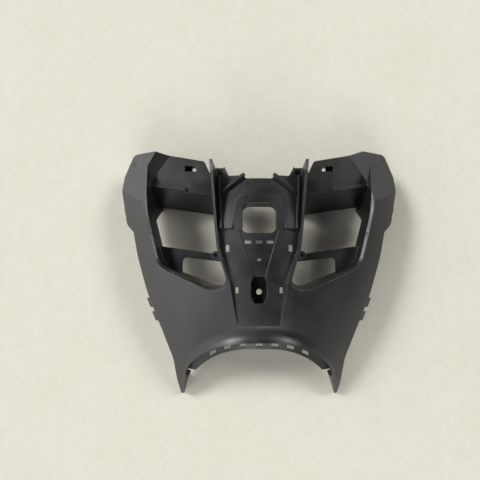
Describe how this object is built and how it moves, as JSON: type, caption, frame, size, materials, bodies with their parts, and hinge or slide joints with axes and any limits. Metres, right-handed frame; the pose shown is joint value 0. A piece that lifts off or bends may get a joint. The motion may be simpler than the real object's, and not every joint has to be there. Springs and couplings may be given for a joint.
{
  "type": "scooter inner leg-shield panel",
  "caption": "Moulded plastic inner leg-shield panel of a scooter with pocket openings, a key well, a tunnel arch and prongs.",
  "frame": {"origin": "middle of the bottom of the panel's box as it lies on its back, face up", "axes": "+X to the rider's right across the panel, +Y towards the handlebar end, +Z out of the face the rider sees"},
  "size_m": [0.4396, 0.3897, 0.1333],
  "materials": {
    "panel": "fine grained matte black plastic"
  },
  "bodies": {
    "root": {"inner_panel": "panel"}
  },
  "joints": []
}
